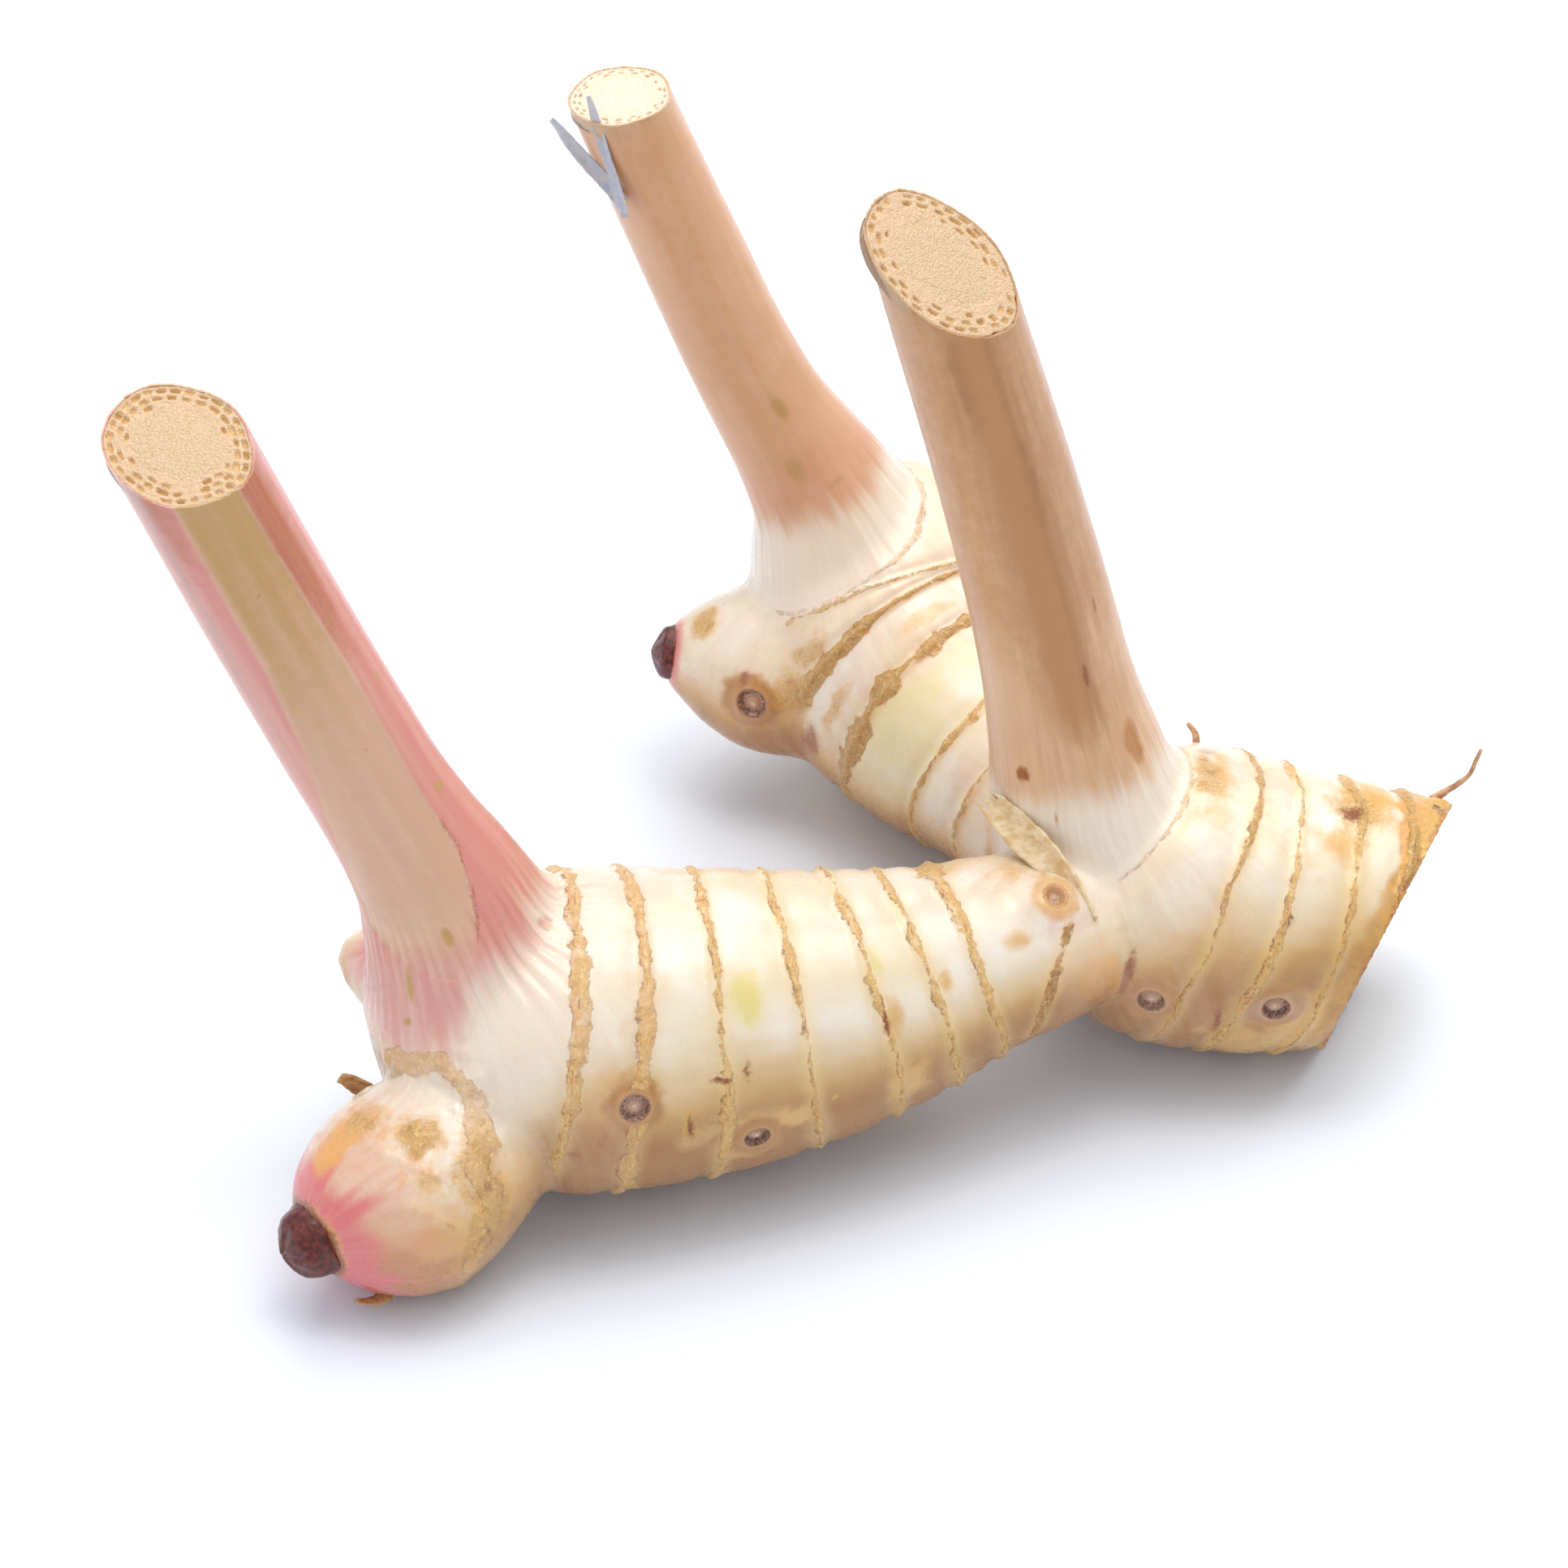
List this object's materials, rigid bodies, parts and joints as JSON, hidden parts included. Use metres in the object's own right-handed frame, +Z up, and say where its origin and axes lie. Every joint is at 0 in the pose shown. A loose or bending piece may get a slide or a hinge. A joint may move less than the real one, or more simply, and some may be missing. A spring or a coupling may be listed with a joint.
{
  "type": "galangal root",
  "caption": "Fresh galangal rhizome: ringed cream limbs with buds and root scars, each turning up into a knife-cut leafy shoot, resting on low points of its belly",
  "frame": {"origin": "on the surface it rests on, under the middle of its bounding box", "axes": "+Z up, +X to the right along the front limb toward the knife-cut end, +Y to the rear; the side seen from -Y is the pictured one"},
  "size_m": [0.1494, 0.119, 0.1045],
  "materials": {
    "rhizome_skin": "waxy cream-white skin with thin tan leaf-scar rings, golden crusts and pink bud, slightly translucent",
    "front_shoot": "smooth satin sheath, rose-pink sides round an olive-tan band, white pleated foot, pale cellular cut",
    "middle_shoot": "smooth tan sheath with brown bruised streaks, white veined foot, fibrous oblique cut",
    "rear_shoot": "smooth salmon-tan sheath with a pink and white foot, pale cut",
    "dry_bud_tip": "dried dark brown scale with grey flecks",
    "papery_scale": "thin papery tan-green scale leaf, translucent at its edge",
    "sheath_fibre": "grey-blue dried sheath shreds"
  },
  "bodies": {
    "root": {"rhizome": "rhizome_skin", "stem_front": "front_shoot", "stem_middle": "middle_shoot", "stem_rear": "rear_shoot", "bud_tip_front": "dry_bud_tip", "bud_tip_rear": "dry_bud_tip", "scale_leaf": "papery_scale", "sheath_shreds": "sheath_fibre"}
  },
  "joints": []
}
